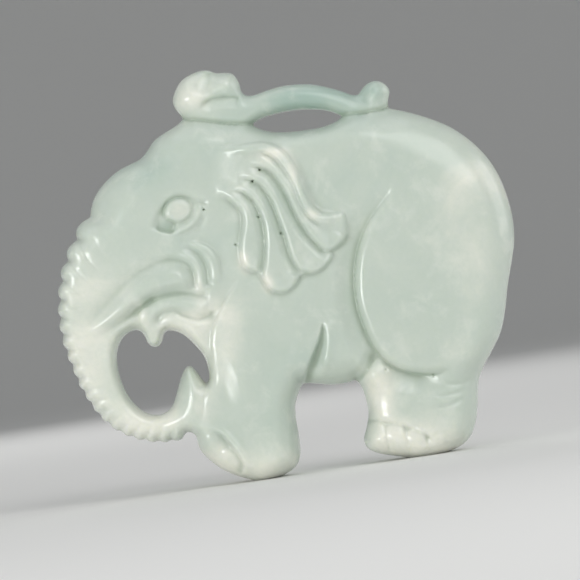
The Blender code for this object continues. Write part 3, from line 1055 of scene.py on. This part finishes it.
def jade_polish(n, place):
    """A slightly uneven polish: where it is duller, and faint waves left by the hand."""
    smear = n.noise(place, 300.0, 1.0, 0.5)
    n.link(n.ramp(smear, 0.1, 0.9, 0.2, 0.26), n.shader.inputs["Roughness"])
    bump = n.add("ShaderNodeBump")
    bump.inputs["Strength"].default_value = 0.2
    bump.inputs["Distance"].default_value = 0.00005
    n.link(n.noise(place, 900.0, 1.5, 0.5), bump.inputs["Height"])
    n.link(bump.outputs["Normal"], n.shader.inputs["Normal"])


def jade():
    """Pale polished jade that lets light a little way in."""
    material = bpy.data.materials.new("jade")
    n = Nodes(material)
    place = n.place()
    n.link(jade_colour(n, place), n.shader.inputs["Base Color"])
    jade_polish(n, place)
    n.shader.inputs["Subsurface Weight"].default_value = 0.6
    n.shader.inputs["Subsurface Radius"].default_value = (1.0, 1.0, 0.85)
    n.shader.inputs["Subsurface Scale"].default_value = 0.0007
    n.shader.inputs["IOR"].default_value = 1.6
    return material


def paper():
    """Matt white paper for the studio's floor."""
    material = bpy.data.materials.new("studio_paper")
    n = Nodes(material)
    n.shader.inputs["Base Color"].default_value = PAPER
    n.shader.inputs["Roughness"].default_value = 0.9
    return material


# ----------------------------------------------------------------- studio
# Places and sizes are in metres.

TILT = math.radians(8.43)  # how far the camera leans, so that the carving rises to the right
FIELD = 0.0754  # width of the view at the carving's middle plane
LENS = 300.0  # focal length and sensor width in millimetres, as Blender takes them
SENSOR = 36.0
AIM = (0.0002, 0.0238)  # x and z at the middle of the view
CLIP = (0.01, 20.0)  # the nearest and furthest that it sees


def camera():
    """A long lens that looks straight at the front face."""
    data = bpy.data.cameras.new("camera")
    data.lens = LENS
    data.sensor_width = SENSOR
    data.clip_start, data.clip_end = CLIP
    thing = bpy.data.objects.new("camera", data)
    bpy.context.collection.objects.link(thing)
    distance = FIELD * LENS / SENSOR
    thing.matrix_world = (
        Matrix.Translation((AIM[0], -distance, AIM[1]))
        @ Matrix.Rotation(TILT, 4, "Y")
        @ Matrix.Rotation(math.pi / 2, 4, "X")
    )
    bpy.context.scene.camera = thing


INNER_RING = 0.2
FLOOR_RADIUS = 0.75
CURVE_RADIUS = 0.6
CURVE_STEPS = 16
TURNS = 96  # points round each ring


def sweep_outline():
    """Radius and height of each ring: flat, then a quarter turn upwards."""
    outline = [(INNER_RING, 0.0), (FLOOR_RADIUS, 0.0)]
    for i in range(1, CURVE_STEPS + 1):
        angle = math.pi / 2 * i / CURVE_STEPS
        out = FLOOR_RADIUS + CURVE_RADIUS * math.sin(angle)
        up = CURVE_RADIUS * (1 - math.cos(angle))
        outline.append((out, up))
    return outline


def sweep():
    """A round floor that curves up all the way round, open above."""
    bm = bmesh.new()
    centre = bm.verts.new((0.0, 0.0, 0.0))
    angles = [math.tau * k / TURNS for k in range(TURNS)]
    rings = []
    for r, z in sweep_outline():
        rings.append([bm.verts.new((r * math.cos(a), r * math.sin(a), z)) for a in angles])
    for k in range(TURNS):
        after = (k + 1) % TURNS
        bm.faces.new((centre, rings[0][k], rings[0][after]))
        for low, high in zip(rings, rings[1:]):
            bm.faces.new((low[k], high[k], high[after], low[after])).smooth = True
    mesh = bpy.data.meshes.new("studio_sweep")
    bm.to_mesh(mesh)
    bm.free()
    mesh.materials.append(paper())
    thing = bpy.data.objects.new("studio_sweep", mesh)
    bpy.context.collection.objects.link(thing)


MIDDLE = Vector((0.0, 0.0, 0.026))  # the carving's middle, which every lamp points at


def lamp(name, place, size, power, mirrored=True):
    """A soft box turned to the carving's middle. One that isn't mirrored makes no highlights."""
    data = bpy.data.lights.new(name, "AREA")
    data.shape = "RECTANGLE"
    data.size, data.size_y = size
    data.energy = power
    thing = bpy.data.objects.new(name, data)
    thing.visible_camera = False
    thing.visible_glossy = mirrored
    bpy.context.collection.objects.link(thing)
    thing.location = place
    aim = MIDDLE - Vector(place)
    thing.rotation_euler = aim.to_track_quat("-Z", "Y").to_euler()


def studio():
    """Soft boxes low on the left, high on the right, beside, behind and overhead, and a pale sky."""
    lamp("front_low", (-0.28, -0.30, 0.045), (0.24, 0.08), 0.66)
    lamp("front_high", (0.19, -0.29, 0.27), (0.32, 0.32), 0.7)
    lamp("side", (0.42, 0.05, 0.12), (0.30, 0.30), 0.42)
    lamp("back", (-0.10, 0.42, 0.26), (0.24, 0.24), 0.45, mirrored=False)
    lamp("overhead", (0.0, 0.0, 0.6), (0.45, 0.45), 0.5)
    world = bpy.data.worlds.new("studio")
    world.use_nodes = True
    background = world.node_tree.nodes["Background"]
    background.inputs["Color"].default_value = (0.96, 0.98, 1.0, 1.0)
    background.inputs["Strength"].default_value = 0.25
    bpy.context.scene.world = world
    bpy.context.scene.view_settings.view_transform = "Standard"


# ------------------------------------------------------------------ scene

elephant = carving()
elephant.data.materials.append(jade())
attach(elephant, "root")
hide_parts("elephant_carving")
sweep()
studio()
camera()
